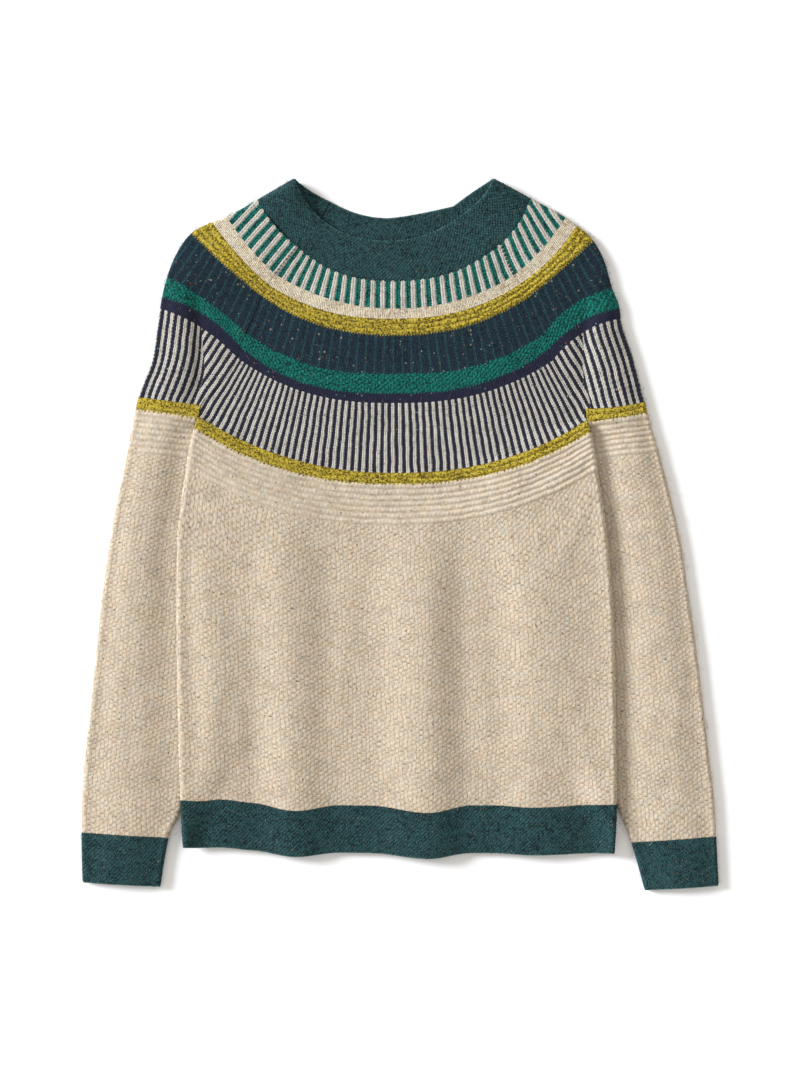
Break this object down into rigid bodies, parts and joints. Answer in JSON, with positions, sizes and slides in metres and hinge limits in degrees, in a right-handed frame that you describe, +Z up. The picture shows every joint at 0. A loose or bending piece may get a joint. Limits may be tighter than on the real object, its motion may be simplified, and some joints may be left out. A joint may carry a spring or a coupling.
{
  "type": "donegal sweater",
  "caption": "Tweed wool sweater with a striped round yoke, raglan sleeves, garter ridges and dark welts, laid flat and face up.",
  "frame": {"origin": "middle of the laid-out sweater, on the surface that it lies on", "axes": "+X to the right as the face-up garment is seen with its neck at the top, +Y towards the neck, +Z up out of the front"},
  "size_m": [0.6389, 0.7124, 0.019],
  "materials": {
    "knit": "cream flecked wool in moss stitch, with coloured yoke bands",
    "welt": "dark green flecked wool in fine seed stitch"
  },
  "bodies": {
    "root": {"front_panel": "knit", "back_panel": "knit", "left_sleeve": "knit", "right_sleeve": "knit", "front_hem": "welt", "back_hem": "welt", "left_cuff": "welt", "right_cuff": "welt", "front_neckband": "welt", "back_neckband": "welt", "left_neckband": "welt", "right_neckband": "welt"}
  },
  "joints": []
}
